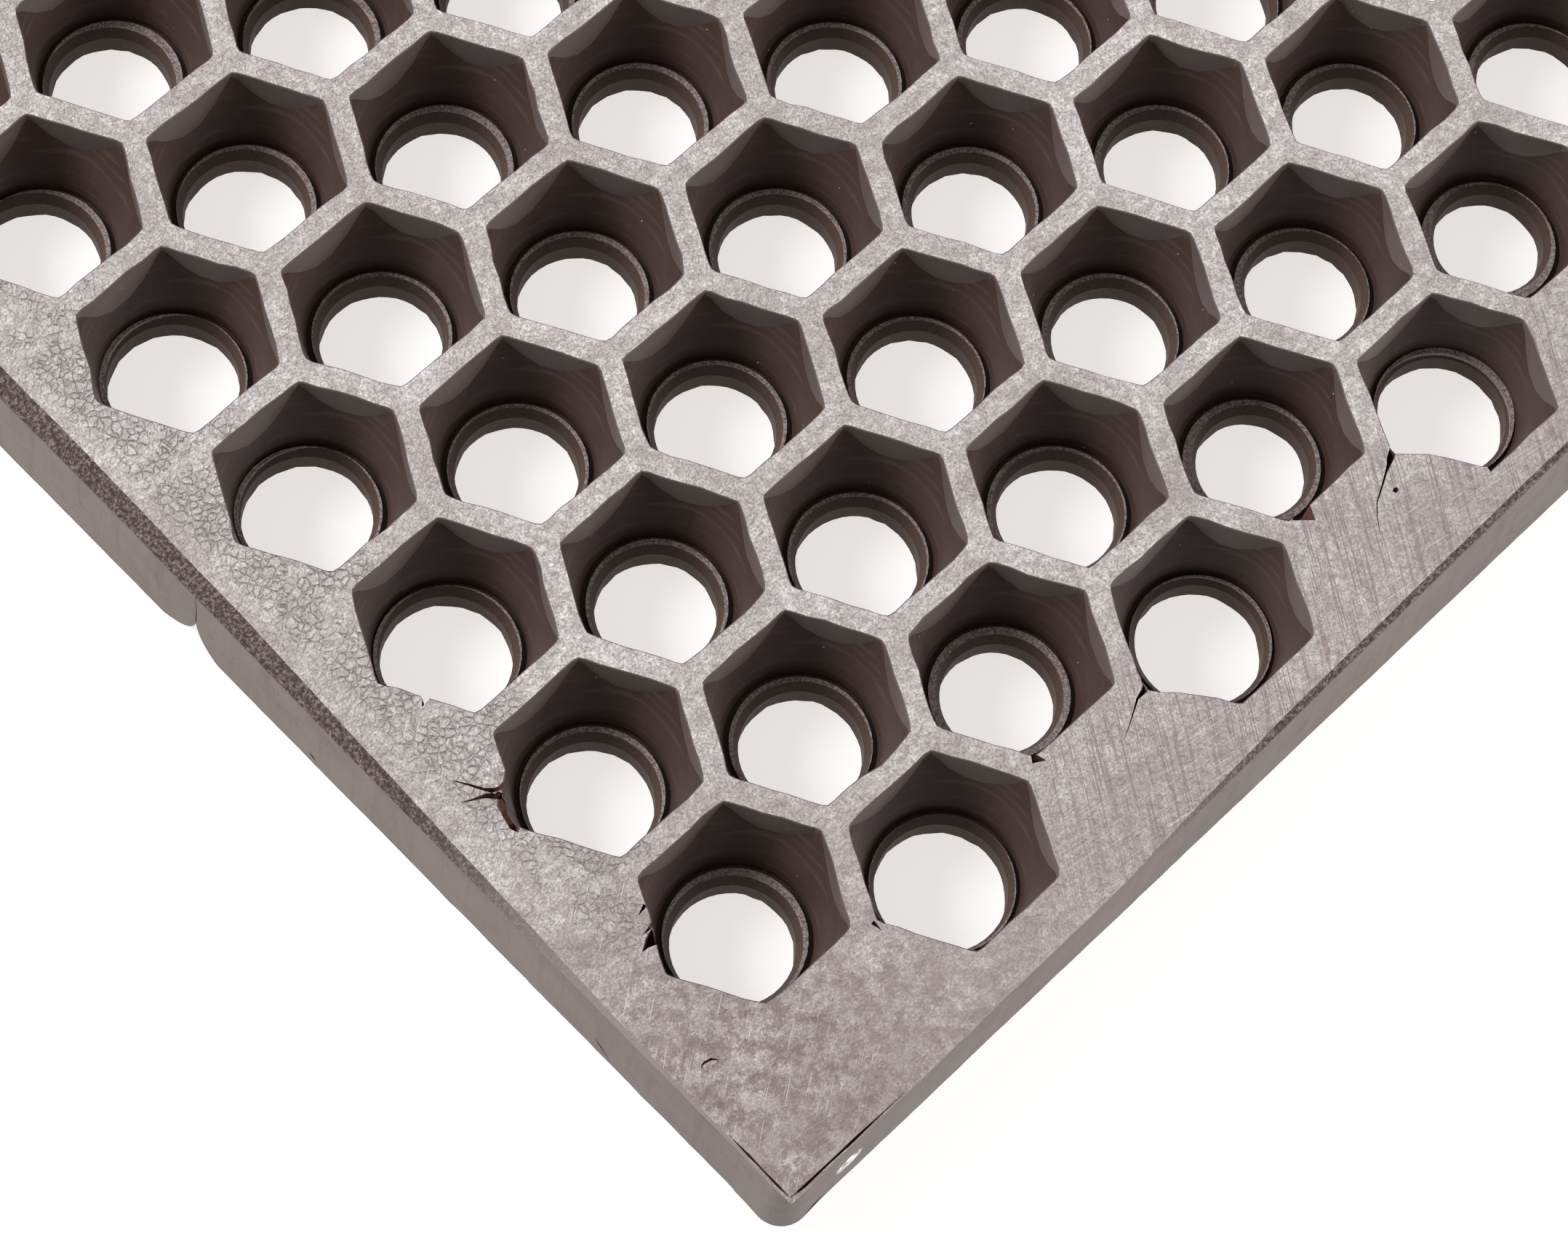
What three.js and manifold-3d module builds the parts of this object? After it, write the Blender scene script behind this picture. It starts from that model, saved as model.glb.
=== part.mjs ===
// Rubber drainage mat: one moulded slab with staggered rows of six-sided wells.
// Each well narrows down to a ledge, and a round drain hole goes on through the floor of the mat.
// Millimetres, +Z up. The underside lies on Z = 0, and the origin is at the middle of the underside.
// Rows of wells run along Y, the long way of the mat. The margins are measured from the -X, -Y corner.
import * as THREE from 'three';
import { ConvexGeometry } from 'three/addons/geometries/ConvexGeometry.js';
import { mergeGeometries, mergeVertices } from 'three/addons/utils/BufferGeometryUtils.js';
import Module from 'manifold-3d';

// Overall size
const matWidth = 400;
const matLength = 600;
const matThickness = 23;

// Pattern of wells
const cellPitch = 36.5;
const rowPitch = 33.3;
const sideMargin = 32;
const endMargin = 25.6;

// One well: the web of rubber left between two openings, the funnel below it and the drain hole
const webThickness = 4.7;
const wellDepth = 16.4;
const wellTaper = 2.6;
const holeDiameter = 22;
const holeSides = 10;

// Rim of the mat: rounded upright corners, a slight draft, and a worn bevel along the top edge
const cornerRadius = 5.5;
const cornerSegments = 4;
const sideDraft = 1.4;
const endDraft = 1.6;
const sideBevel = 2.8;
const endBevel = 1;
const bevelDrop = 2;

// Notch in the lower edge of the -X side, where two rounded lobes of rubber meet in a cusp
const notchFromEnd = 150.7;
const notchHalfWidth = 10;
const notchHeight = 11.4;
const notchDepth = 6;
const notchSegments = 6;

// How far a cutting shape reaches past the face that it opens
const overrun = 1;

const rubber = new THREE.MeshStandardMaterial({ color: 0xaaa09f, roughness: 0.85, metalness: 0 });
rubber.name = 'rubber';

const wasm = await Module();
wasm.setup();

// A closed geometry as a solid that can be cut
function solidFrom(geometry) {
  const bare = geometry.clone();
  bare.deleteAttribute('normal');
  bare.deleteAttribute('uv');
  const merged = mergeVertices(bare, 1e-4);
  const vertProperties = new Float32Array(merged.attributes.position.array);
  const triVerts = new Uint32Array(merged.index.array);
  return new wasm.Manifold(new wasm.Mesh({ numProp: 3, vertProperties, triVerts }));
}

// A cut solid as a geometry again
function geometryFrom(solid) {
  const mesh = solid.getMesh();
  const geometry = new THREE.BufferGeometry();
  geometry.setAttribute('position', new THREE.BufferAttribute(mesh.vertProperties, 3));
  geometry.setIndex(new THREE.BufferAttribute(mesh.triVerts, 1));
  geometry.computeVertexNormals();
  return geometry;
}

// Outline of the slab with rounded upright corners, drawn in from its full size by a draft on each edge
function roundedOutline(draftX, draftY, z) {
  const centreX = matWidth / 2 - draftX - cornerRadius;
  const centreY = matLength / 2 - draftY - cornerRadius;
  const points = [];
  for (let corner = 0; corner < 4; corner += 1) {
    const signX = corner === 0 || corner === 3 ? 1 : -1;
    const signY = corner < 2 ? 1 : -1;
    for (let step = 0; step <= cornerSegments; step += 1) {
      const angle = (corner + step / cornerSegments) * Math.PI / 2;
      const x = signX * centreX + cornerRadius * Math.cos(angle);
      const y = signY * centreY + cornerRadius * Math.sin(angle);
      points.push(new THREE.Vector3(x, y, z));
    }
  }
  return points;
}

// The top face keeps sharp corners, inside the rounded corners of the body
function topOutline() {
  const halfX = matWidth / 2 - sideDraft - sideBevel;
  const halfY = matLength / 2 - endDraft - endBevel;
  const signs = [[1, 1], [-1, 1], [-1, -1], [1, -1]];
  return signs.map(([signX, signY]) => new THREE.Vector3(signX * halfX, signY * halfY, matThickness));
}

// The slab before its wells are cut
function slab() {
  return new ConvexGeometry([
    ...roundedOutline(0, 0, 0),
    ...roundedOutline(sideDraft, endDraft, matThickness - bevelDrop),
    ...topOutline(),
  ]);
}

// Six corners of a cell, around its centre, drawn in from the lines halfway to the six neighbours.
// Two flats face the neighbours in the same row, and two corners point along X.
function cellOutline(inset, z) {
  const halfPitch = cellPitch / 2;
  const diagonal = Math.hypot(rowPitch, halfPitch);
  const reach = diagonal * (diagonal / 2 - inset);
  const flatY = halfPitch - inset;
  const tipX = reach / rowPitch;
  const flatX = (reach - halfPitch * flatY) / rowPitch;
  const corners = [[tipX, 0], [flatX, flatY], [-flatX, flatY], [-tipX, 0], [-flatX, -flatY], [flatX, -flatY]];
  return corners.map(([x, y]) => new THREE.Vector3(x, y, z));
}

// The space of one well: a six-sided funnel down to the ledge, and the drain hole below it
function wellCutter() {
  const ledgeZ = matThickness - wellDepth;
  const openingInset = webThickness / 2;
  const taperPerHeight = wellTaper / wellDepth;
  const funnel = new ConvexGeometry([
    ...cellOutline(openingInset + wellTaper, ledgeZ),
    ...cellOutline(openingInset - taperPerHeight * overrun, matThickness + overrun),
  ]);
  const holeHeight = ledgeZ + 2 * overrun;
  const hole = new THREE.CylinderGeometry(holeDiameter / 2, holeDiameter / 2, holeHeight, holeSides);
  hole.rotateX(Math.PI / 2);
  hole.translate(0, 0, holeHeight / 2 - overrun);
  return geometryFrom(solidFrom(funnel).add(solidFrom(hole)));
}

// The space of the notch: under two quarter ellipses that meet at its top, cut in from the -X side
function notchCutter() {
  const profile = new THREE.Shape();
  profile.moveTo(-notchHalfWidth, -overrun);
  profile.lineTo(-notchHalfWidth, 0);
  for (let step = 1; step <= 2 * notchSegments; step += 1) {
    const side = step <= notchSegments ? -1 : 1;
    const angle = step / notchSegments * Math.PI / 2;
    const y = side * notchHalfWidth * (1 - Math.sin(angle));
    const z = notchHeight * (1 - Math.abs(Math.cos(angle)));
    profile.lineTo(y, z);
  }
  profile.lineTo(notchHalfWidth, -overrun);
  const notch = new THREE.ExtrudeGeometry(profile, { depth: notchDepth + overrun, bevelEnabled: false });
  notch.rotateX(Math.PI / 2);
  notch.rotateZ(Math.PI / 2);
  return notch.translate(-matWidth / 2 - overrun, notchFromEnd - matLength / 2, 0);
}

// Centres of all wells, row by row. Every second row is staggered by half a pitch.
function wellCentres() {
  const rows = Math.floor((matWidth - 2 * sideMargin) / rowPitch) + 1;
  const centres = [];
  for (let row = 0; row < rows; row += 1) {
    const firstY = row % 2 === 1 ? endMargin : endMargin + cellPitch / 2;
    const cells = Math.floor((matLength - endMargin - firstY) / cellPitch) + 1;
    for (let cell = 0; cell < cells; cell += 1) {
      const x = sideMargin + row * rowPitch - matWidth / 2;
      const y = firstY + cell * cellPitch - matLength / 2;
      centres.push([x, y]);
    }
  }
  return centres;
}

// The moulded mat: the slab with every well cut through it, and the notch cut into its side
function drainageMat() {
  const cutter = wellCutter();
  const cutters = wellCentres().map(([x, y]) => cutter.clone().translate(x, y, 0));
  const perforated = solidFrom(slab()).subtract(solidFrom(mergeGeometries(cutters)));
  const moulded = perforated.subtract(solidFrom(notchCutter()));
  const mesh = new THREE.Mesh(geometryFrom(moulded), rubber);
  mesh.name = 'drainage_mat';
  return mesh;
}

const part = new THREE.Group();
part.add(drainageMat());

export default part;
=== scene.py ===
# A worn rubber drainage mat with staggered rows of six-sided wells, lying flat. Metres, +Z up.
import math

import bmesh
import bpy
import numpy as np
from mathutils import Matrix, Vector, noise
from mathutils.geometry import delaunay_2d_cdt


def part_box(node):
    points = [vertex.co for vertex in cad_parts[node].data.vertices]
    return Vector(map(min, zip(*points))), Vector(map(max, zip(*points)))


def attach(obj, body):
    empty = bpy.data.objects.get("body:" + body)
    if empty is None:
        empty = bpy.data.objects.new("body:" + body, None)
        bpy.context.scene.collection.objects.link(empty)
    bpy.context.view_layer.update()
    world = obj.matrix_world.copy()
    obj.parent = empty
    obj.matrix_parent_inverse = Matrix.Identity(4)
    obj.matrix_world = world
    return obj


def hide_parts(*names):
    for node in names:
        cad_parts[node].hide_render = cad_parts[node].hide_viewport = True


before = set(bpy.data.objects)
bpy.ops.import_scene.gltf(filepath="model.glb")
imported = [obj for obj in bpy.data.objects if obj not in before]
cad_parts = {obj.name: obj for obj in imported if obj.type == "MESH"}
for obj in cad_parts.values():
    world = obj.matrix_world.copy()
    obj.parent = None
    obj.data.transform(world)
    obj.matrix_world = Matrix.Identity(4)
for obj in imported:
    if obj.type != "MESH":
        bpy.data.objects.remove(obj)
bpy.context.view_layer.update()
scene = bpy.context.scene

# Camera
# It looks steeply down past the near left corner of the mat, so that this corner and its two sides show.
camera_place = (-0.3802, -0.3949, 0.7566)
camera_right = Vector((0.70878, -0.70067, 0.08180))
camera_up = Vector((0.62942, 0.68051, 0.37515))
lens_data = bpy.data.cameras.new("camera")
lens_data.sensor_width = 36
lens_data.lens = 102.83
camera = bpy.data.objects.new("camera", lens_data)
turned = Matrix((camera_right, camera_up, camera_right.cross(camera_up))).transposed()
camera.matrix_world = Matrix.Translation(camera_place) @ turned.to_4x4()
scene.collection.objects.link(camera)
scene.camera = camera

# Wells
# The mat is one moulding of black rubber, now brown grey. Its wells stand in staggered rows. Each well is
# six-sided at the top, turns into a cone, and ends in a groove and a flat ledge around a round drain hole.
mm = 0.001
low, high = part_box("drainage_mat")
top_z = high.z
cell_pitch = 36.5 * mm
row_pitch = 33.3 * mm
side_margin = 32 * mm
end_margin = 25.6 * mm
rows = math.floor((high.x - low.x - 2 * side_margin) / row_pitch) + 1
cells = math.floor((high.y - low.y - 2 * end_margin) / cell_pitch) + 1
web = 4.7 * mm
edge_wear = 0.2 * mm
corner_wear = 0.25 * mm
cone_start_radius, cone_start_depth = 18.3 * mm, 2.5 * mm
cone_end_radius, cone_end_depth = 14.05 * mm, 16.4 * mm
groove_depth = 1.3 * mm
groove_slope = 0.1 * mm
ledge_outer = 13 * mm
ledge_inner = 12 * mm
ledge_edge_depth = 2.2 * mm
hole_radius = 10.95 * mm
hole_foot = 1.2 * mm
edge_stations = (0, 0.07, 0.22, 0.4, 0.6, 0.78, 0.93)
around = 6 * len(edge_stations)
ZONE_TOP, ZONE_FLAT, ZONE_CONE, ZONE_LEDGE, ZONE_BORE, ZONE_BAND, ZONE_SIDE = range(7)


def cell_corners(inset):
    """Six corners of a cell, drawn in from the lines halfway to its neighbours."""
    half = cell_pitch / 2
    diagonal = math.hypot(row_pitch, half)
    reach = diagonal * (diagonal / 2 - inset)
    flat_y = half - inset
    tip_x = reach / row_pitch
    flat_x = (reach - half * flat_y) / row_pitch
    first_half = [(tip_x, 0), (flat_x, flat_y), (-flat_x, flat_y)]
    return first_half + [(-x, -y) for x, y in first_half]


def opening_ring(inset):
    """The outline of a well's opening, with its corners worn a little round."""
    corners = np.array(cell_corners(inset))
    ring = []
    for here, after in zip(corners, np.roll(corners, -1, 0)):
        for station in edge_stations:
            point = here + station * (after - here)
            if station == 0:
                point *= 1 - corner_wear / np.hypot(*point)
            ring.append(point)
    return np.array(ring)


def round_ring(radius):
    """A circle whose points lie evenly between the directions of the cell's corners."""
    angles = np.unwrap([math.atan2(y, x) for x, y in cell_corners(web / 2)])
    after = np.append(angles[1:], angles[0] + 2 * math.pi)
    steps = np.arange(len(edge_stations)) / len(edge_stations)
    turns = (angles[:, None] + (after - angles)[:, None] * steps).ravel()
    return radius * np.c_[np.cos(turns), np.sin(turns)]


def well_rings():
    """The rings of one well from its top edge down to the lower edge of its drain hole."""
    opening = opening_ring(web / 2)
    slope = (cone_end_depth - cone_start_depth) / (cone_start_radius - cone_end_radius)
    depth = cone_start_depth + (cone_start_radius - np.hypot(*opening.T)) * slope
    ledge_z = top_z - cone_end_depth
    levels = [
        (opening_ring(web / 2 - edge_wear), top_z),
        (opening, top_z - edge_wear),
        (opening, top_z - np.maximum(depth, 3 * edge_wear)),
        (round_ring(cone_end_radius), ledge_z),
        (round_ring(cone_end_radius - groove_slope), ledge_z - groove_depth),
        (round_ring(ledge_outer + groove_slope), ledge_z - groove_depth),
        (round_ring(ledge_outer), ledge_z),
        (round_ring(ledge_inner), ledge_z),
        (round_ring(hole_radius), ledge_z - ledge_edge_depth),
        (round_ring(hole_radius), hole_foot),
        (round_ring(hole_radius), 0),
    ]
    return [np.c_[ring, np.broadcast_to(z, around)] for ring, z in levels]


# The first strip, the worn bevel at the top edge of each opening, takes the dark finish of the flats as a
# painted shadow line along the edge.
strip_zones = [ZONE_FLAT, ZONE_FLAT] + [ZONE_CONE] * 3 + [ZONE_LEDGE] * 2 + [ZONE_BORE] * 3
ring_count = len(strip_zones) + 1


def strip_faces(upper, lower, count):
    """Quads between two closed rings whose points start at the given numbers."""
    return [(upper + k, lower + k, lower + (k + 1) % count, upper + (k + 1) % count) for k in range(count)]


def one_well():
    """A well as a mesh, with the zone of each face and its place within the cell as a UV map."""
    places = np.concatenate(well_rings())
    faces = []
    zones = []
    for strip, zone in enumerate(strip_zones):
        faces += strip_faces(strip * around, (strip + 1) * around, around)
        zones += [zone] * around
    mesh = bpy.data.meshes.new("well")
    mesh.from_pydata(places.tolist(), [], faces)
    mesh.attributes.new("zone", "INT", "FACE").data.foreach_set("value", zones)
    plan = mesh.uv_layers.new(name="well_plan")
    for loop in mesh.loops:
        plan.data[loop.index].uv = places[loop.vertex_index][:2] / cell_pitch
    return mesh


def add_node(tree, kind, sockets, **settings):
    """A node with its settings, and its sockets linked or set."""
    node = tree.nodes.new(kind)
    for name, value in settings.items():
        setattr(node, name, value)
    for name, value in sockets.items():
        if isinstance(value, bpy.types.NodeSocket):
            tree.links.new(value, node.inputs[name])
        else:
            node.inputs[name].default_value = value
    return node


def math_node(tree, operation, *values):
    """The result of a sum, a product or the like."""
    return add_node(tree, "ShaderNodeMath", dict(enumerate(values)), operation=operation).outputs[0]


def staggered_rows_tree(zone_materials):
    """Geometry nodes that stand a copy of a well on each place of the pattern."""
    tree = bpy.data.node_groups.new("staggered_rows", "GeometryNodeTree")
    sockets = [("Geometry", "NodeSocketGeometry"), ("Rows", "NodeSocketInt"), ("Cells", "NodeSocketInt")]
    sockets += [(name, "NodeSocketFloat") for name in ("Row pitch", "Cell pitch", "First X", "First Y")]
    for name, kind in sockets:
        tree.interface.new_socket(name, in_out="INPUT", socket_type=kind)
    tree.interface.new_socket("Geometry", in_out="OUTPUT", socket_type="NodeSocketGeometry")
    given = tree.nodes.new("NodeGroupInput").outputs
    index = tree.nodes.new("GeometryNodeInputIndex").outputs[0]
    row = math_node(tree, "FLOOR", math_node(tree, "DIVIDE", index, given["Cells"]))
    cell = math_node(tree, "SUBTRACT", index, math_node(tree, "MULTIPLY", row, given["Cells"]))
    short = math_node(tree, "SUBTRACT", 1, math_node(tree, "MODULO", row, 2))
    x = math_node(tree, "MULTIPLY_ADD", row, given["Row pitch"], given["First X"])
    step = math_node(tree, "MULTIPLY_ADD", short, 0.5, cell)
    y = math_node(tree, "MULTIPLY_ADD", step, given["Cell pitch"], given["First Y"])
    place = add_node(tree, "ShaderNodeCombineXYZ", {"X": x, "Y": y}).outputs[0]
    total = math_node(tree, "MULTIPLY", given["Rows"], given["Cells"])
    points = add_node(tree, "GeometryNodePoints", {"Count": total, "Position": place}).outputs[0]
    last = math_node(tree, "SUBTRACT", given["Cells"], 1.5)
    spare = math_node(tree, "MULTIPLY", short, math_node(tree, "GREATER_THAN", cell, last))
    dropping = {"Geometry": points, "Selection": spare}
    kept = add_node(tree, "GeometryNodeDeleteGeometry", dropping, domain="POINT").outputs[0]
    standing = {"Points": kept, "Instance": given["Geometry"]}
    stood = add_node(tree, "GeometryNodeInstanceOnPoints", standing)
    made = add_node(tree, "GeometryNodeRealizeInstances", {"Geometry": stood.outputs[0]}).outputs[0]
    zone = add_node(tree, "GeometryNodeInputNamedAttribute", {"Name": "zone"}, data_type="INT").outputs[0]
    for number, material in enumerate(zone_materials):
        compared = {2: zone, 3: number}
        chosen = add_node(tree, "FunctionNodeCompare", compared, data_type="INT", operation="EQUAL")
        setting = {"Geometry": made, "Selection": chosen.outputs[0], "Material": material}
        made = add_node(tree, "GeometryNodeSetMaterial", setting).outputs[0]
    output = tree.nodes.new("NodeGroupOutput")
    tree.links.new(made, output.inputs[0])
    return tree


def set_inputs(modifier, values):
    """Sets a geometry nodes modifier's inputs, which go by their sockets' identifiers."""
    for item in modifier.node_group.interface.items_tree:
        if item.item_type == "SOCKET" and item.in_out == "INPUT" and item.name in values:
            modifier[item.identifier] = values[item.name]


# Finishes of the rubber
# One black rubber everywhere. Feet and knives have worn the top pale and speckled, dust dulls the sides,
# the wells stay dark brown, and fresh tears are reddish.
def new_material(name, roughness):
    """An empty material, its tree and shader, and the piece's own coordinates."""
    material = bpy.data.materials.new(name)
    material.use_nodes = True
    tree = material.node_tree
    shader = tree.nodes["Principled BSDF"]
    shader.inputs["Roughness"].default_value = roughness
    place = tree.nodes.new("ShaderNodeTexCoord").outputs["Object"]
    return material, tree, shader, place


def blotches(tree, place, size, detail=4.0, roughness=0.6, distortion=0.0):
    """Soft noise from 0 to 1 whose features are about the given size."""
    sockets = {"Vector": place, "Scale": 1 / size, "Detail": detail}
    sockets |= {"Roughness": roughness, "Distortion": distortion}
    return add_node(tree, "ShaderNodeTexNoise", sockets).outputs["Fac"]


def between(tree, value, start, end, first=0.0, last=1.0):
    """Maps a value smoothly from a range onto another."""
    sockets = {"Value": value, 1: start, 2: end, 3: first, 4: last}
    return add_node(tree, "ShaderNodeMapRange", sockets, interpolation_type="SMOOTHSTEP").outputs[0]


def mixed(tree, share, first, second):
    """A colour between two colours."""
    sockets = {0: share, 6: first, 7: second}
    return add_node(tree, "ShaderNodeMix", sockets, data_type="RGBA").outputs[2]


def bumped(tree, height, distance, strength=1.0):
    """The normal of a surface with this relief."""
    sockets = {"Height": height, "Distance": distance, "Strength": strength}
    return add_node(tree, "ShaderNodeBump", sockets).outputs[0]


def axis_of(tree, place, axis):
    """One coordinate of a place."""
    return add_node(tree, "ShaderNodeSeparateXYZ", {"Vector": place}).outputs[axis]


def near(tree, place, point, inner, outer):
    """1 within the inner distance of a point, falling to 0 at the outer one."""
    gap = add_node(tree, "ShaderNodeVectorMath", {0: place, 1: point}, operation="DISTANCE").outputs["Value"]
    return between(tree, gap, inner, outer, 1.0, 0.0)


def product(tree, *values):
    """Several values multiplied."""
    result = values[0]
    for value in values[1:]:
        result = math_node(tree, "MULTIPLY", result, value)
    return result


def strokes(tree, place, degrees, length, width, sparse):
    """Straight fine scratches in one direction, as a value from 0 to 1."""
    turning = {"Vector": place, "Angle": math.radians(-degrees)}
    turned_place = add_node(tree, "ShaderNodeVectorRotate", turning, rotation_type="Z_AXIS").outputs[0]
    stretch = {"Vector": turned_place, "Scale": (1 / length, 1 / width, 0)}
    streaks = add_node(tree, "ShaderNodeMapping", stretch, vector_type="POINT").outputs[0]
    value = blotches(tree, streaks, 1.0, 1.0, 0.5)
    fade = 0.06
    return between(tree, value, sparse, sparse + fade)


def crackle(tree, place, size):
    """Leathery wrinkles: 0 in the creases and 1 on the humps between them."""
    wandering = {"Vector": place, "Scale": 0.7 / size, "Detail": 2}
    wander = add_node(tree, "ShaderNodeTexNoise", wandering).outputs["Color"]
    moving = {0: wander, 1: (size, size, size), 2: place}
    moved = add_node(tree, "ShaderNodeVectorMath", moving, operation="MULTIPLY_ADD").outputs[0]
    humped = {"Vector": moved, "Scale": 1 / size}
    humps = add_node(tree, "ShaderNodeTexVoronoi", humped, feature="DISTANCE_TO_EDGE")
    crease_width = 0.14
    return between(tree, humps.outputs["Distance"], 0.0, crease_width)


def dusted(tree, place, colour, share):
    """A colour with a few tiny pale specks of dust."""
    spacing = 2.2 * mm
    specks = add_node(tree, "ShaderNodeTexVoronoi", {"Vector": place, "Scale": 1 / spacing})
    dot = between(tree, specks.outputs["Distance"], 0.05, 0.1, 1.0, 0.0)
    chosen = math_node(tree, "GREATER_THAN", axis_of(tree, specks.outputs["Color"], 0), 1 - share)
    return mixed(tree, product(tree, dot, chosen), colour, (0.3, 0.28, 0.27, 1))


def worn_top_material():
    """The flat top: pale worn rubber with a leathery grain, speckles, stains, creases and knife marks."""
    material, tree, shader, place = new_material("worn_top", 0.75)
    shader.inputs["Specular IOR Level"].default_value = 0.35
    x, y = axis_of(tree, place, 0), axis_of(tree, place, 1)
    dirty = (0.24, 0.195, 0.19, 1)
    scratched = (0.75, 0.72, 0.72, 1)
    grain = blotches(tree, place, 0.5 * mm, 3, 0.75)
    patch = blotches(tree, place, 2.2 * mm, 4, 0.7, 0.8)
    stain = blotches(tree, place, 13 * mm, 5, 0.65, 1.0)
    cloud = blotches(tree, place, 55 * mm, 3, 0.5, 0.3)
    pale = mixed(tree, between(tree, cloud, 0.35, 0.65), (0.56, 0.52, 0.51, 1), (0.7, 0.66, 0.65, 1))
    pale = mixed(tree, between(tree, stain, 0.42, 0.7, 0, 0.5), pale, (0.3, 0.255, 0.25, 1))
    pale = mixed(tree, between(tree, patch, 0.42, 0.62, 0.45, 0.0), pale, (0.27, 0.225, 0.22, 1))
    corner_rub = near(tree, place, (low.x, low.y, top_z), 0.02, 0.1)
    corner_patch = between(tree, blotches(tree, place, 4.5 * mm, 6, 0.85), 0.42, 0.58, 1.0, 0.35)
    pale = mixed(tree, product(tree, corner_rub, corner_patch), pale, (0.17, 0.118, 0.12, 1))
    speckled = mixed(tree, between(tree, grain, 0.4, 0.55, 0.6, 0.0), pale, (0.19, 0.155, 0.15, 1))
    speckled = mixed(tree, between(tree, grain, 0.56, 0.72, 0, 0.3), speckled, (0.72, 0.69, 0.69, 1))
    scraped = between(tree, blotches(tree, place, 1.3 * mm, 5, 0.7), 0.46, 0.6, 0, 0.4)
    speckled = mixed(tree, scraped, speckled, dirty)
    left_border = between(tree, x, low.x + 36 * mm, low.x + 24 * mm)
    inner_border = product(tree, left_border, between(tree, x, low.x + 5 * mm, low.x + 11 * mm))
    front_border = between(tree, y, low.y + 20 * mm, low.y + 13 * mm)
    wrinkled = math_node(tree, "MAXIMUM", product(tree, inner_border, between(tree, stain, 0.38, 0.5)), 0.3)
    humps = crackle(tree, place, 1.7 * mm)
    smooth_corner = math_node(tree, "SUBTRACT", 1.0, product(tree, corner_rub, 0.85))
    crease = product(tree, math_node(tree, "SUBTRACT", 1.0, humps), wrinkled, smooth_corner)
    # The creases are also painted a little darker, as painted shade in the wrinkles.
    speckled = mixed(tree, product(tree, crease, 0.14), speckled, (0.2, 0.16, 0.155, 1))
    past_corner = between(tree, x, low.x + 50 * mm, low.x + 100 * mm)
    cut_zone = product(tree, front_border, past_corner)
    speckled = mixed(tree, product(tree, front_border, 0.3), speckled, dirty)
    long_cuts = product(tree, between(tree, y, low.y + 34 * mm, low.y + 24 * mm), past_corner)
    steep = strokes(tree, place, 57, 18 * mm, 0.3 * mm, 0.47)
    steep_stain = strokes(tree, place, 57, 20 * mm, 1.2 * mm, 0.5)
    shallow = strokes(tree, place, -10, 14 * mm, 0.3 * mm, 0.6)
    dark_cuts = product(tree, steep, math_node(tree, "MULTIPLY_ADD", steep_stain, 0.6, 0.3), long_cuts)
    speckled = mixed(tree, product(tree, dark_cuts, 0.9), speckled, (0.24, 0.18, 0.18, 1))
    pale_cuts = product(tree, shallow, math_node(tree, "MAXIMUM", product(tree, cut_zone, 0.25), 0.07))
    scuffs = product(tree, strokes(tree, place, 35, 10 * mm, 0.25 * mm, 0.66), left_border, 0.4)
    speckled = mixed(tree, math_node(tree, "MAXIMUM", pale_cuts, scuffs), speckled, scratched)
    tip = near(tree, place, (low.x + 4.5 * mm, low.y + 4.5 * mm, top_z), 0.5 * mm, 4 * mm)
    rubbed_tip = product(tree, tip, between(tree, patch, 0.47, 0.6, 0.0, 0.45))
    speckled = mixed(tree, rubbed_tip, speckled, scratched)
    tree.links.new(speckled, shader.inputs["Base Color"])
    relief = math_node(tree, "MULTIPLY_ADD", crease, -1.1, product(tree, grain, 0.5))
    lumps = blotches(tree, place, 2.4 * mm, 5, 0.65, 1.5)
    relief = math_node(tree, "MULTIPLY_ADD", patch, 0.6, relief)
    relief = math_node(tree, "MULTIPLY_ADD", lumps, 1.6, relief)
    relief = math_node(tree, "MULTIPLY_ADD", dark_cuts, -0.3, relief)
    tree.links.new(bumped(tree, relief, 0.55 * mm, 1.0), shader.inputs["Normal"])
    return material


def well_flat_material():
    """The six flats at the top of a well, and the worn bevel above them, where the dark grey is a painted
    shadow line: smooth dark grey with a dull shine.
    """
    material, tree, shader, place = new_material("well_flat", 0.5)
    shader.inputs["Specular IOR Level"].default_value = 0.25
    stain = blotches(tree, place, 9 * mm, 4, 0.6)
    grey = mixed(tree, stain, (0.066, 0.045, 0.042, 1), (0.115, 0.086, 0.081, 1))
    tree.links.new(dusted(tree, place, grey, 0.05), shader.inputs["Base Color"])
    fine = blotches(tree, place, 0.8 * mm, 3, 0.6)
    tree.links.new(bumped(tree, fine, 0.1 * mm, 0.3), shader.inputs["Normal"])
    return material


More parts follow.
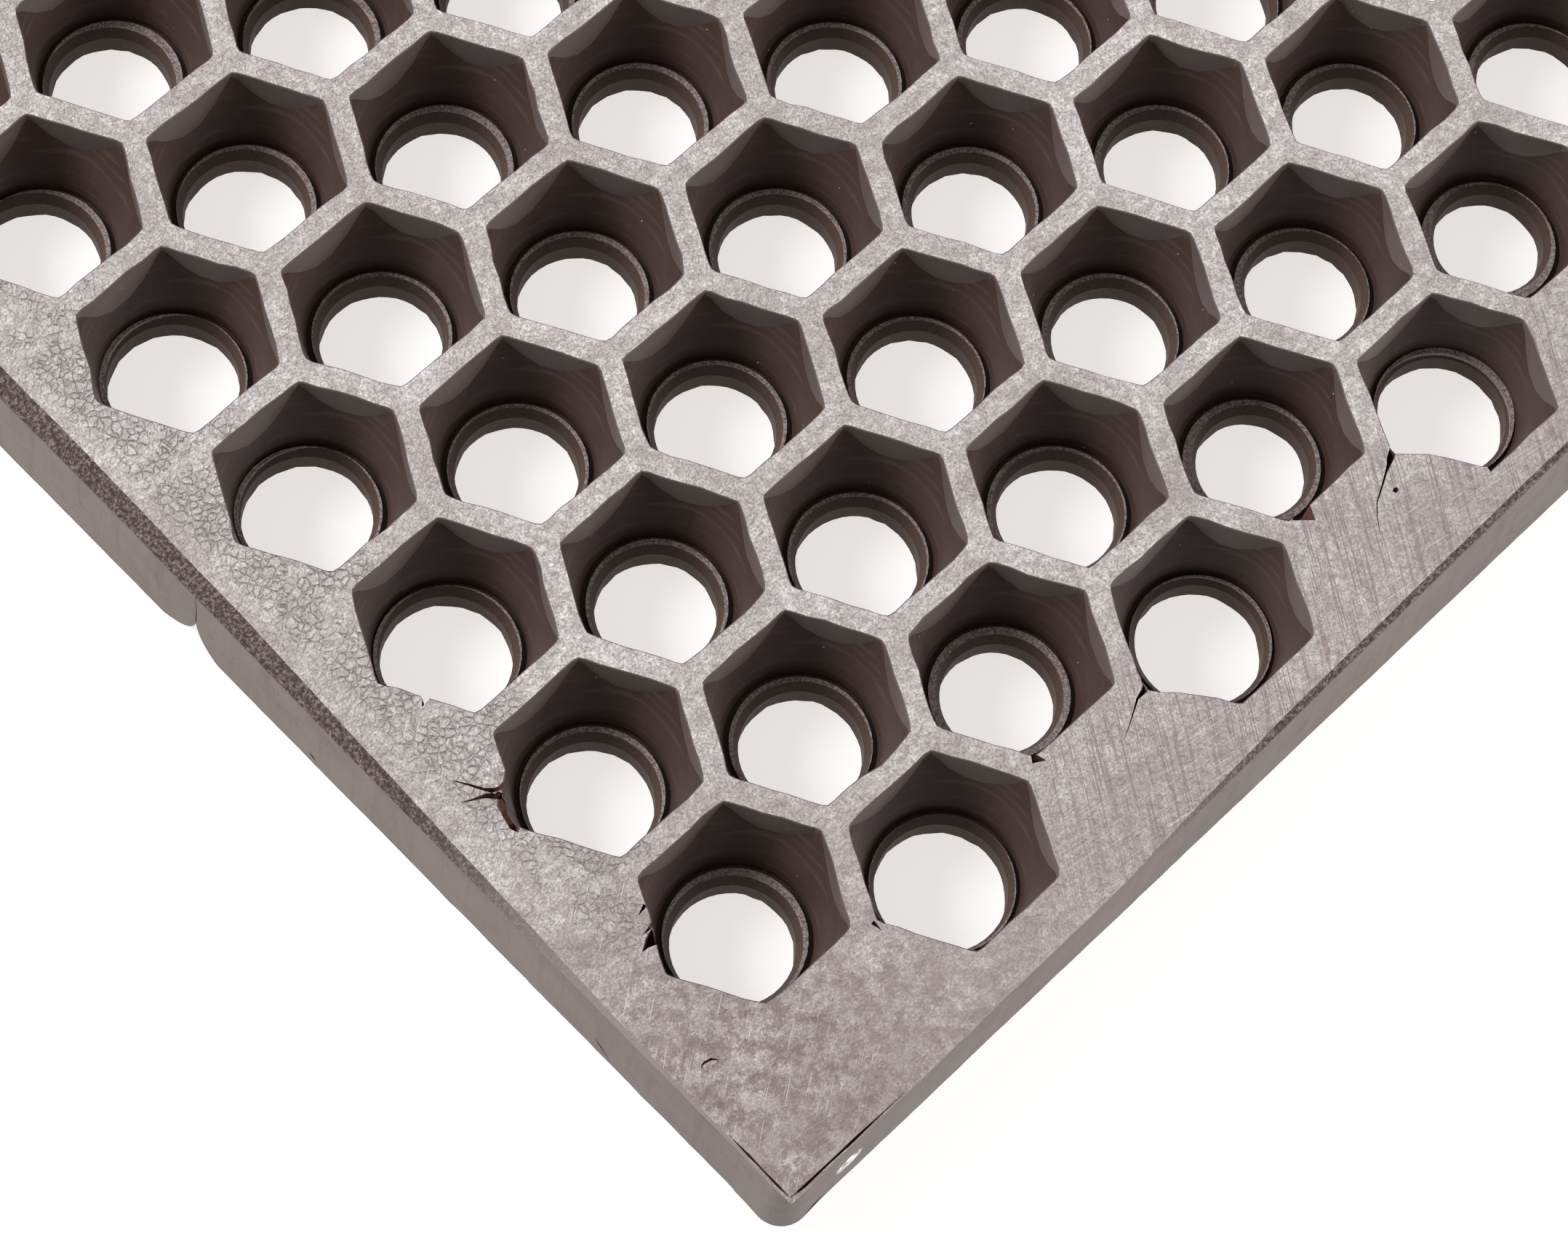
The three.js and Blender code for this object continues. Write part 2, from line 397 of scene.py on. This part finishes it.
def well_cone_material():
    """The cone of a well: dark brown, with faint rings that a turning tool left in the mould."""
    material, tree, shader, place = new_material("well_cone", 0.5)
    shader.inputs["Specular IOR Level"].default_value = 0.15
    plan = add_node(tree, "ShaderNodeUVMap", {}, uv_map="well_plan").outputs[0]
    radius = add_node(tree, "ShaderNodeVectorMath", {0: plan}, operation="LENGTH").outputs["Value"]
    turn = math_node(tree, "ARCTAN2", axis_of(tree, plan, 1), axis_of(tree, plan, 0))
    rings_per_cell = 60.0
    polar = {"X": product(tree, radius, rings_per_cell), "Y": turn}
    ring_place = add_node(tree, "ShaderNodeCombineXYZ", polar).outputs[0]
    rings = blotches(tree, ring_place, 1.0, 3, 0.6)
    stain = blotches(tree, place, 12 * mm, 4, 0.6)
    brown = mixed(tree, stain, (0.032, 0.0165, 0.014, 1), (0.06, 0.036, 0.031, 1))
    brown = mixed(tree, between(tree, rings, 0.5, 0.7, 0, 0.3), brown, (0.11, 0.084, 0.08, 1))
    tree.links.new(dusted(tree, place, brown, 0.05), shader.inputs["Base Color"])
    tree.links.new(bumped(tree, rings, 0.15 * mm, 0.5), shader.inputs["Normal"])
    return material


def ledge_material():
    """The ledge around each drain hole: grey and speckled."""
    material, tree, shader, place = new_material("ledge_top", 0.6)
    shader.inputs["Specular IOR Level"].default_value = 0.2
    grain = blotches(tree, place, 0.4 * mm, 3, 0.7)
    grey = mixed(tree, between(tree, grain, 0.35, 0.7), (0.11, 0.078, 0.072, 1), (0.34, 0.29, 0.28, 1))
    tree.links.new(grey, shader.inputs["Base Color"])
    tree.links.new(bumped(tree, grain, 0.2 * mm, 0.6), shader.inputs["Normal"])
    return material


def drain_bore_material():
    """The wall of a drain hole: brown, with fine upright grain."""
    material, tree, shader, place = new_material("drain_bore", 0.6)
    shader.inputs["Specular IOR Level"].default_value = 0.2
    grain = blotches(tree, place, 0.7 * mm, 3, 0.7)
    brown = mixed(tree, grain, (0.03, 0.015, 0.011, 1), (0.08, 0.048, 0.037, 1))
    tree.links.new(brown, shader.inputs["Base Color"])
    tree.links.new(bumped(tree, grain, 0.2 * mm, 0.5), shader.inputs["Normal"])
    return material


def crumbled_edge_material():
    """The broken band along the top edge: dark and crumbly, but smooth and paler near the corner."""
    material, tree, shader, place = new_material("crumbled_edge", 0.85)
    grain = blotches(tree, place, 0.7 * mm, 5, 0.8)
    coarse = blotches(tree, place, 2.5 * mm, 3, 0.6)
    dark = mixed(tree, between(tree, grain, 0.44, 0.64), (0.04, 0.02, 0.016, 1), (0.24, 0.19, 0.18, 1))
    dark = mixed(tree, between(tree, coarse, 0.5, 0.7, 0, 0.6), dark, (0.035, 0.02, 0.017, 1))
    left_far = between(tree, axis_of(tree, place, 1), low.y + 38 * mm, low.y + 100 * mm)
    front_far = between(tree, axis_of(tree, place, 0), low.x + 70 * mm, low.x + 130 * mm)
    broken = math_node(tree, "MAXIMUM", left_far, front_far)
    smooth_grey = (0.26, 0.22, 0.21, 1)
    tree.links.new(mixed(tree, broken, smooth_grey, dark), shader.inputs["Base Color"])
    tree.links.new(bumped(tree, grain, 0.6 * mm, 0.9), shader.inputs["Normal"])
    return material


def moulded_side_material():
    """The sides and the underside: smooth warm grey rubber with faint smears and dark specks."""
    material, tree, shader, place = new_material("moulded_side", 0.6)
    shader.inputs["Specular IOR Level"].default_value = 0.3
    smear = blotches(tree, place, 14 * mm, 5, 0.6, 0.8)
    specks = blotches(tree, place, 0.9 * mm, 3, 0.6)
    upright = add_node(tree, "ShaderNodeMapping", {"Vector": place, "Scale": (1, 1, 0.06)}).outputs[0]
    streak = blotches(tree, upright, 2.5 * mm, 4, 0.7)
    grey = mixed(tree, smear, (0.095, 0.073, 0.065, 1), (0.155, 0.127, 0.115, 1))
    grey = mixed(tree, between(tree, specks, 0.62, 0.7, 0, 0.6), grey, (0.035, 0.028, 0.026, 1))
    grey = mixed(tree, between(tree, streak, 0.5, 0.7, 0, 0.25), grey, (0.05, 0.038, 0.034, 1))
    scuff_place = (low.x + 15.5 * mm, low.y, 11.5 * mm)
    scuff = near(tree, place, scuff_place, 2 * mm, 3.6 * mm)
    torn_scuff = product(tree, scuff, between(tree, blotches(tree, place, 2 * mm), 0.42, 0.52))
    grey = mixed(tree, torn_scuff, grey, (0.75, 0.74, 0.73, 1))
    tree.links.new(grey, shader.inputs["Base Color"])
    tree.links.new(bumped(tree, smear, 0.8 * mm, 0.4), shader.inputs["Normal"])
    return material


def torn_material():
    """Torn rubber inside cracks and chips: dark and reddish."""
    material, tree, shader, place = new_material("torn_rubber", 0.9)
    grain = blotches(tree, place, 1.2 * mm, 4, 0.7)
    rust = mixed(tree, grain, (0.02, 0.007, 0.005, 1), (0.15, 0.05, 0.028, 1))
    tree.links.new(rust, shader.inputs["Base Color"])
    tree.links.new(bumped(tree, grain, 0.5 * mm), shader.inputs["Normal"])
    return material


finishes = [
    worn_top_material(),
    well_flat_material(),
    well_cone_material(),
    ledge_material(),
    drain_bore_material(),
    crumbled_edge_material(),
    moulded_side_material(),
]
torn_rubber = torn_material()

# Pattern of wells
# The well is copied onto its places, and then each copy gets faults of its own.
mat = bpy.data.objects.new("drainage_mat_rubber", one_well())
scene.collection.objects.link(mat)
pattern = mat.modifiers.new("staggered_rows", "NODES")
pattern.node_group = staggered_rows_tree(finishes[: ZONE_BORE + 1])
set_inputs(pattern, {
    "Rows": rows,
    "Cells": cells,
    "Row pitch": row_pitch,
    "Cell pitch": cell_pitch,
    "First X": low.x + side_margin,
    "First Y": low.y + end_margin,
})
bpy.context.view_layer.update()
pattern_mesh = bpy.data.meshes.new_from_object(mat.evaluated_get(bpy.context.evaluated_depsgraph_get()))
mat.modifiers.clear()
mat.data = pattern_mesh

well_size = ring_count * around
well_count = len(pattern_mesh.vertices) // well_size
coordinates = np.empty(len(pattern_mesh.vertices) * 3)
pattern_mesh.vertices.foreach_get("co", coordinates)
wells = coordinates.reshape(well_count, ring_count, around, 3)
centres = wells[:, -1, :, :2].mean(1)


def ripple(places, size, seed):
    """Smooth noise from about -1 to 1 at each place, with waves of about the given size."""
    return np.array([noise.noise(Vector((x / size, y / size, seed))) for x, y in places])


# Single drain holes by row and cell: their extra moves in mm, and how much wider they are
hole_faults = {
    (0, 0): (-1.7, -1.8, 0.05),
    (1, 0): (-1.5, -0.5, 0),
    (0, 1): (-0.4, -0.8, -0.05),
    (1, 1): (0.2, -1.0, 0),
    (2, 0): (-1.0, -0.3, 0),
    (0, 2): (0.5, 0.0, 0),
    (0, 3): (1.1, 0.8, 0),
    (0, 4): (1.3, 0.6, 0),
    (1, 3): (0.5, 0.3, 0),
    (1, 4): (1.3, 0.2, 0),
    (1, 5): (0.9, 0.2, 0),
    (3, 0): (-0.5, 0.2, 0),
    (5, 0): (0.2, 1.0, 0),
    (5, 1): (0.4, 0.5, 0),
    (6, 0): (0.5, 1.2, 0),
}


def hole_offset(centre):
    """How far a drain hole lies off its well's middle, and its width against the plain one."""
    reach = 100 * mm
    across, along = np.clip((centre - (low.x + reach, low.y + reach)) / reach, -1.2, 1.2)
    shift = np.array([-0.6 + 0.95 * across - 1.4 * along, -0.6 - 0.45 * across]) * mm
    growth = 1.03
    row = round((centre[0] - low.x - side_margin) / row_pitch)
    short_row = row % 2 == 0
    cell = round((centre[1] - low.y - end_margin) / cell_pitch - 0.5 * short_row)
    if row == 0:
        shift += np.array([-0.4, 0.4]) * mm
        growth = 1.1
    if cell == 0 and short_row:
        shift += 0.6 * mm
        growth = 0.97
    elif cell == 0:
        shift += 0.7 * mm
        growth = 1.1
    move_x, move_y, wider = hole_faults.get((row, cell), (0, 0, 0))
    shift += np.array([move_x, move_y]) * mm
    return shift, growth + wider


# The rings of a well's foot and groove move a part of the way with its drain hole
groove_rings = range(3, 7)
hole_rings = range(7, ring_count)
groove_share = 0.6


def roughen_wells():
    """Gives each well its own small faults: wavy webs, holes off centre, and ragged lower edges."""
    random = np.random.default_rng(7)
    wave_length = 5 * mm
    for centre, well in zip(centres, wells):
        edge = well[0, :, :2]
        waves = np.c_[ripple(edge, wave_length, 3.1), ripple(edge, wave_length, 9.7)]
        for ring, share in ((0, 0.45), (1, 0.45), (2, 0.25)):
            well[ring, :, :2] += share * mm * waves
        shift, growth = hole_offset(centre)
        shift += random.uniform(-0.25, 0.25, 2) * mm
        growth *= random.uniform(0.985, 1.015)
        for ring in groove_rings:
            well[ring, :, :2] += groove_share * shift
        for ring in hole_rings:
            well[ring, :, :2] = centre + (well[ring, :, :2] - centre) * growth + shift
        ragged = 1 + random.uniform(-0.014, 0.008, around)
        well[-1, :, :2] = centre + shift + (well[-1, :, :2] - centre - shift) * ragged[:, None]


def push_edge(row, cell, corner, profile):
    """Moves one side of a well's top edge in (+) or out (-), by places along it and moves in mm."""
    short_rows_before = (row + 1) // 2
    well = wells[row * cells - short_rows_before + cell]
    picks = [(corner * len(edge_stations) + k) % around for k in range(len(edge_stations) + 1)]
    first, last = well[1, picks[0], :2].copy(), well[1, picks[-1], :2].copy()
    run = (last - first) / np.hypot(*(last - first))
    inward = np.array([-run[1], run[0]])
    places, moves = np.array(profile).T * mm
    for pick in picks[1:]:
        move = np.interp(np.dot(well[1, pick, :2] - first, run), places, moves)
        for ring, share in ((0, 1.0), (1, 1.0), (2, 0.5)):
            well[ring, pick, :2] += share * move * inward


roughen_wells()
push_edge(5, 0, 3, [(0, -0.6), (1.9, -1.1), (4.1, 0.0), (6.7, 0.8), (9.3, 1.3), (13, 1.6), (18.1, 2.1)])
push_edge(3, 0, 3, [(0, -0.6), (1.6, -2.3), (4.7, -1.3), (9.8, 0.1), (18.1, 0.8)])
push_edge(0, 2, 3, [(0, 0), (4, 0.35), (7, 0.1), (11, 0.5), (14, 0.3), (18.1, 0)])
push_edge(1, 1, 4, [(0, 0), (6, 0.2), (11, -0.7), (14, -0.9), (18.1, 0)])
push_edge(0, 1, 2, [(0, 0), (7, 0.2), (9, -0.3), (13, -1.8), (16, -1.6), (18.1, 0)])

# Rim
# A border surrounds the wells. Its top edge is broken off in a crumbly band, which narrows towards the near
# corner, and the sides below it slope out a little to the floor.
long_steps = 300
short_steps = 200
arc_steps = 12
fade_length = 8 * mm
body_radius = 5.5 * mm


def along_rim(left, front, other):
    """A size that changes along the left and front sides, from lists of places and sizes in mm."""
    def size(side, along):
        if side % 3:
            return np.full_like(along, other * mm)
        places, sizes = np.array(left if side == 3 else front).T * mm
        return np.interp(along, places, sizes)
    return size


top_inset = along_rim(
    [(-300, 0.1), (-254, 1.1), (-235, 1.8), (-205, 2.6), (-160, 4.2), (-115, 5)],
    [(-200, 0.1), (-120, 0.6), (-105, 1.3), (-75, 2.7), (0, 3.7)],
    3,
)
band_inset = along_rim(
    [(-300, 0), (-235, 0.2), (-160, 1), (-130, 1.4)],
    [(-200, 0), (-120, 0.5), (-60, 1.6), (0, 2.5)],
    1.4,
)
band_drop = along_rim(
    [(-300, 0.5), (-235, 1), (-190, 2)],
    [(-200, 0.4), (-120, 0.5), (-60, 0.9), (0, 0.6)],
    1.6,
)


def rim_loop(top_share, side_share, height, radius, rough):
    """A closed loop around the mat, between the pale top's edge, the band's lower edge and the outline.
    Height is a function of the side and of the place along it."""
    def inset(side, along):
        upper = top_share * top_inset(side, along) + (1 - top_share) * band_inset(side, along)
        return upper * (1 - side_share)

    corners = np.array([[low.x, low.y], [high.x, low.y], [high.x, high.y], [low.x, high.y]])
    runs = np.array([[1, 0], [0, 1], [-1, 0], [0, -1]])
    inwards = np.array([[0, 1], [-1, 0], [0, -1], [1, 0]])
    points = []
    for side in range(4):
        start, end = corners[side], corners[(side + 1) % 4]
        before, after = (side - 1) % 4, (side + 1) % 4
        start_gap = inset(before, start[[before % 2]])[0] + radius
        end_gap = inset(after, end[[after % 2]])[0] + radius
        first, last = start + runs[side] * start_gap, end - runs[side] * end_gap
        steps = short_steps if side % 2 == 0 else long_steps
        line = first + np.linspace(0, 1, steps + 1)[:, None] * (last - first)
        along = line[:, side % 2].copy()
        faded = np.clip(np.minimum(along - along.min(), along.max() - along) / fade_length, 0, 1)
        wavy = 1 + 0.7 * ripple(line, 9 * mm, 5.3) + 0.6 * ripple(line, 2.5 * mm, 2.3)
        depth = inset(side, along) + rough * mm * wavy * faded
        line = line + inwards[side] * depth[:, None]
        points.append(np.c_[line, height(side, along)])
        centre = end + inwards[side] * (depth[-1] + radius) + inwards[after] * end_gap
        angles = np.linspace(0, math.pi / 2, arc_steps + 1)[1:-1, None]
        arc = centre - radius * (np.cos(angles) * inwards[side] + np.sin(angles) * inwards[after])
        points.append(np.c_[arc, height(side, np.full(arc_steps - 1, along[-1]))])
    return np.concatenate(points)


def level(z):
    """A height that is the same all around."""
    return lambda side, along: np.full_like(along, z)


def below_top(share, extra=0.0):
    """A height at a share of the way down the broken band, and a little lower."""
    return lambda side, along: top_z - share * band_drop(side, along) - extra


rim_loops = [
    rim_loop(1, 0, level(top_z), 0.3 * mm, 0.12),
    rim_loop(0.6, 0, below_top(0.3), 1.5 * mm, 0.2),
    rim_loop(0, 0, below_top(1), 4.5 * mm, 0.12),
    rim_loop(0, 0.05, below_top(1, 0.4 * mm), body_radius, 0.06),
    rim_loop(0, 0.5, level(0.45 * top_z), body_radius, 0.06),
    rim_loop(0, 1, level(1 * mm), body_radius, 0.1),
    rim_loop(0, 1, level(0), body_radius, 0.4),
]
band_strips = 2
rim_points = len(rim_loops[0])
skin = np.concatenate([wells.reshape(-1, 3)] + rim_loops)
rim_numbers = [wells.size // 3 + loop * rim_points + np.arange(rim_points) for loop in range(len(rim_loops))]
top_holes = [number * well_size + np.arange(around) for number in range(well_count)]
lower_holes = [loop + well_size - around for loop in top_holes]


def fill(outer, holes):
    """Triangles of the flat face between an outer loop and holes, each given by its points' numbers."""
    loops = [outer] + holes
    numbers = np.concatenate(loops)
    flat = [Vector(point) for point in skin[numbers][:, :2]]
    ends = np.cumsum([len(loop) for loop in loops])
    outlines = [list(range(end - len(loop), end)) for loop, end in zip(loops, ends)]
    inside_only, tolerance = 1, 1e-9
    result = delaunay_2d_cdt(flat, [], outlines, inside_only, tolerance)
    _, _, triangles, sources, _, owners = result
    kept = [triangle for triangle, owner in zip(triangles, owners) if owner == [0]]
    return [[int(numbers[sources[corner][0]]) for corner in triangle] for triangle in kept]


def joined_skin():
    """The wells, the top face, the rim and the underside as one closed mesh."""
    faces = [list(face.vertices) for face in pattern_mesh.polygons]
    zones = np.tile(np.repeat(strip_zones, around), well_count).tolist()
    top_faces = fill(rim_numbers[0], top_holes)
    faces += top_faces
    zones += [ZONE_TOP] * len(top_faces)
    starts = [int(numbers[0]) for numbers in rim_numbers]
    for loop, (upper, lower) in enumerate(zip(starts, starts[1:])):
        faces += [face[::-1] for face in strip_faces(upper, lower, rim_points)]
        zones += [ZONE_BAND if loop < band_strips else ZONE_SIDE] * rim_points
    underside = fill(rim_numbers[-1], lower_holes)
    faces += underside
    zones += [ZONE_SIDE] * len(underside)
    mesh = bpy.data.meshes.new("drainage_mat_rubber")
    mesh.from_pydata(skin.tolist(), [], faces)
    for finish in finishes:
        mesh.materials.append(finish)
    mesh.polygons.foreach_set("material_index", zones)
    plan = np.zeros(len(mesh.loops) * 2)
    well_plan = np.empty(len(pattern_mesh.loops) * 2)
    pattern_mesh.uv_layers["well_plan"].data.foreach_get("uv", well_plan)
    plan[: len(well_plan)] = well_plan
    mesh.uv_layers.new(name="well_plan").data.foreach_set("uv", plan)
    return mesh


def tidy_normals(mesh):
    """Turns all faces outwards, smooths them, and keeps edges sharp where the surface turns."""
    shape = bmesh.new()
    shape.from_mesh(mesh)
    bmesh.ops.recalc_face_normals(shape, faces=shape.faces)
    for face in shape.faces:
        face.smooth = True
    sharp_turn = math.radians(13)
    for edge in shape.edges:
        edge.smooth = edge.calc_face_angle(0) < sharp_turn
    shape.to_mesh(mesh)
    shape.free()


mat.data = joined_skin()
tidy_normals(mat.data)

# Tears, chips and the notch
# The webs have torn into the border in places, bits have broken off, and two lobes of rubber meet in a cusp
# over a notch in the left side.
cutter = bmesh.new()
overlap = 0.5 * mm
TORN, MOULDED = range(2)


def blade(path, inward, depth):
    """A wedge that cuts a crack. The path's points have a place and a half width, in mm."""
    inward = Vector(inward)
    places = [Vector(point[:3]) * mm for point in path]
    widest = max(point[3] for point in path)
    sections = []
    for number, place in enumerate(places):
        ahead = places[min(number + 1, len(places) - 1)] - places[max(number - 1, 0)]
        across = ahead.cross(inward).normalized() * path[number][3] * mm
        tip = place + inward * depth * mm * math.sqrt(path[number][3] / widest)
        proud = place - inward * overlap
        sections.append([cutter.verts.new(point) for point in (proud + across, tip, proud - across)])
    cutter.faces.new(sections[0])
    cutter.faces.new(sections[-1][::-1])
    for here, after in zip(sections, sections[1:]):
        for k in range(3):
            cutter.faces.new((here[k], after[k], after[k - 2], here[k - 2]))


def crack(path, depth):
    """A crack in the top face, from (x, y, half width) in mm."""
    blade([(x, y, top_z / mm, half) for x, y, half in path], (0, 0, -1), depth)


def chip(outline, depth, foot=0.6):
    """A piece broken out of the top face: an outline in mm, smaller at its foot."""
    outline = np.array(outline, float)
    middle = outline.mean(0)
    shrunk = middle + (outline - middle) * foot
    sections = []
    for points, z in ((outline, top_z + overlap), (shrunk, top_z - depth * mm)):
        sections.append([cutter.verts.new(Vector((x, y, 0)) * mm + Vector((0, 0, z))) for x, y in points])
    upper, lower = sections
    cutter.faces.new(upper)
    cutter.faces.new(lower[::-1])
    for k in range(len(upper)):
        cutter.faces.new((upper[k - 1], lower[k - 1], lower[k], upper[k]))


def notch(middle, near_width, far_width, height, depth):
    """The space under two quarter ellipses that meet at its top, cut in from the left side."""
    arc_points = 21
    turns = np.linspace(0, math.pi / 2, arc_points)
    near_arc = [(-near_width * (1 - math.sin(turn)), height * (1 - math.cos(turn))) for turn in turns]
    far_arc = [(-y * far_width / near_width, z) for y, z in near_arc[-2::-1]]
    profile = [(-near_width, -2 * overlap)] + near_arc + far_arc + [(far_width, -2 * overlap)]
    ends = []
    for x in (low.x - 2 * overlap, low.x + depth):
        ends.append([cutter.verts.new((x, middle + y, z)) for y, z in profile])
    faces = [cutter.faces.new(ends[0]), cutter.faces.new(ends[1][::-1])]
    for k in range(len(profile)):
        faces.append(cutter.faces.new((ends[0][k], ends[0][k - 1], ends[1][k - 1], ends[1][k])))
    for face in faces:
        face.material_index = MOULDED


crack([(-189.8, -205.2, 0.06), (-189, -206.6, 0.15), (-187.9, -208.4, 0.25), (-186.8, -210.4, 0.3),
       (-185.6, -211.9, 0.6), (-184.5, -212.5, 0.8), (-182.6, -212.3, 0.8), (-180.5, -211.6, 0.9)], 7)
crack([(-191.4, -209.4, 0.06), (-189.8, -210.4, 0.18), (-188.2, -211.1, 0.35), (-187.3, -211.6, 0.5),
       (-186.2, -212.6, 0.7), (-185, -213.3, 0.9), (-183, -213.6, 1)], 7)
chip([(-186, -213), (-187.2, -214), (-187.8, -216), (-188.6, -219), (-188, -220.6), (-186, -219),
      (-183, -213.2)], 4, 0.5)
chip([(-183, -248.6), (-185.2, -249.2), (-187.5, -250.7), (-186, -250.8), (-184, -251.6)], 5, 0.5)
crack([(-182.3, -248.2, 0.5), (-185.1, -248.5, 0.06)], 3)
crack([(-181, -244.8, 0.45), (-183.2, -245.4, 0.06)], 3)
crack([(-182, -190.6, 1.2), (-183.2, -191.4, 0.5), (-184.2, -191.9, 0.06)], 6)
crack([(-19.6, -274.9, 0.8), (-22.2, -276.2, 0.7), (-23.5, -276.9, 0.35), (-24.8, -277.5, 0.22),
       (-27.2, -278.8, 0.2), (-30.3, -280.3, 0.14), (-32.4, -282.3, 0.1), (-34.7, -285.1, 0.05)], 7)
crack([(-86, -275.4, 0.8), (-88.3, -276.6, 0.6), (-90.4, -276.9, 0.25), (-92.2, -277.9, 0.16),
       (-95.1, -279.4, 0.1), (-97.7, -280.6, 0.05)], 7)
chip([(-38.6, -270.2), (-44.6, -272.2), (-41.3, -275.2)], 7, 0.6)
chip([(-111.5, -270.6), (-113, -272.6), (-110.6, -274)], 5, 0.4)
crack([(-154.4, -274, 0.5), (-154.3, -276.2, 0.06)], 3)
chip([(-26.8, -280.9), (-26, -280.4), (-25.3, -280.9), (-25.5, -281.5), (-26.4, -281.6)], 1)
crack([(-194.5, -272.5, 0.05), (-193.8, -272.1, 0.22), (-193.1, -272.1, 0.28),
       (-192.0, -272.4, 0.3), (-191.3, -273.2, 0.18), (-191.5, -273.7, 0.05)], 1.5)
blade([(-199.9, -253, 6.6, 0.1), (-199.9, -254.5, 5.2, 0.45), (-199.9, -257, 2.8, 0.1)], (1, 0, 0), 1.5)
blade([(-199.2, -149.3, 11, 0.16), (-198.9, -149.5, 16, 0.12), (-198.7, -149.2, 21, 0.08)], (1, 0, 0), 1.5)
blade([(-199.9, -179.4, 4.8, 0.1), (-199.9, -180.3, 3.9, 0.7), (-199.9, -181.2, 3, 0.1)], (1, 0, 0), 1)
crack([(-199.2, -299, 0.2), (-196, -299.2, 0.35), (-190, -299.2, 0.25), (-184, -299.25, 0.35),
       (-178, -299.3, 0.15), (-172, -299.3, 0.05)], 1.6)
crack([(-199.3, -298.6, 0.2), (-199.25, -296, 0.32), (-199.2, -292, 0.2), (-199.15, -289, 0.32),
       (-199.1, -284, 0.05)], 1.6)
blade([(-194.5, -299.9, 1.4, 0.1), (-192, -299.9, 2.4, 1.3), (-189.5, -299.9, 3.4, 0.1)], (0, 1, 0), 1.2)
notch(middle=low.y + 150.7 * mm, near_width=10 * mm, far_width=15 * mm, height=11.4 * mm, depth=6 * mm)

bmesh.ops.recalc_face_normals(cutter, faces=cutter.faces)
cutter_mesh = bpy.data.meshes.new("cutter")
cutter.to_mesh(cutter_mesh)
cutter.free()
cutter_mesh.materials.append(torn_rubber)
cutter_mesh.materials.append(finishes[ZONE_SIDE])
cutter_object = bpy.data.objects.new("cutter", cutter_mesh)
scene.collection.objects.link(cutter_object)
cutting = mat.modifiers.new("cutting", "BOOLEAN")
cutting.operation = "DIFFERENCE"
cutting.solver = "MANIFOLD"
cutting.material_mode = "TRANSFER"
cutting.object = cutter_object
bpy.context.view_layer.update()
cut_mesh = bpy.data.meshes.new_from_object(mat.evaluated_get(bpy.context.evaluated_depsgraph_get()))
mat.modifiers.clear()
mat.data = cut_mesh
bpy.data.objects.remove(cutter_object)
tidy_normals(cut_mesh)
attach(mat, "root")
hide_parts("drainage_mat")

# Floor and light
# A plain pale table glows a little, as a light table does. Two large soft boxes light the mat from both
# sides, and a white surround fills the shadows.
floor_half = 3
floor_mesh = bpy.data.meshes.new("floor")
floor_mesh.from_pydata([(x, y, 0) for x, y in ((-1, -1), (1, -1), (1, 1), (-1, 1))], [], [(0, 1, 2, 3)])
floor_mesh.transform(Matrix.Scale(floor_half, 4) @ Matrix.Translation((0, 0, -0.05 * mm)))
floor_paint, floor_tree, floor_shader, _ = new_material("floor_paint", 0.8)
floor_shader.inputs["Base Color"].default_value = (0.42, 0.415, 0.41, 1)
floor_shader.inputs["Emission Color"].default_value = (1, 0.975, 0.955, 1)
floor_shader.inputs["Emission Strength"].default_value = 0.7
floor_mesh.materials.append(floor_paint)
floor = bpy.data.objects.new("floor", floor_mesh)
scene.collection.objects.link(floor)


def soft_light(name, place, size, power):
    """A square soft box that points at the near corner of the mat."""
    lamp = bpy.data.lights.new(name, "AREA")
    lamp.size = size
    lamp.energy = power
    box = bpy.data.objects.new(name, lamp)
    box.location = place
    aim = Vector((-0.1, -0.15, 0))
    box.rotation_euler = (aim - Vector(place)).to_track_quat("-Z", "Y").to_euler()
    scene.collection.objects.link(box)


soft_light("left_box", place=(-1.05, 1.1, 1.45), size=0.9, power=63)
soft_light("right_box", place=(1.2, -1.6, 0.85), size=1.0, power=42)
world = bpy.data.worlds.new("studio")
world.use_nodes = True
background = world.node_tree.nodes["Background"].inputs
background["Color"].default_value = (1, 1, 1, 1)
background["Strength"].default_value = 0.43
scene.world = world
scene.view_settings.view_transform = "Standard"
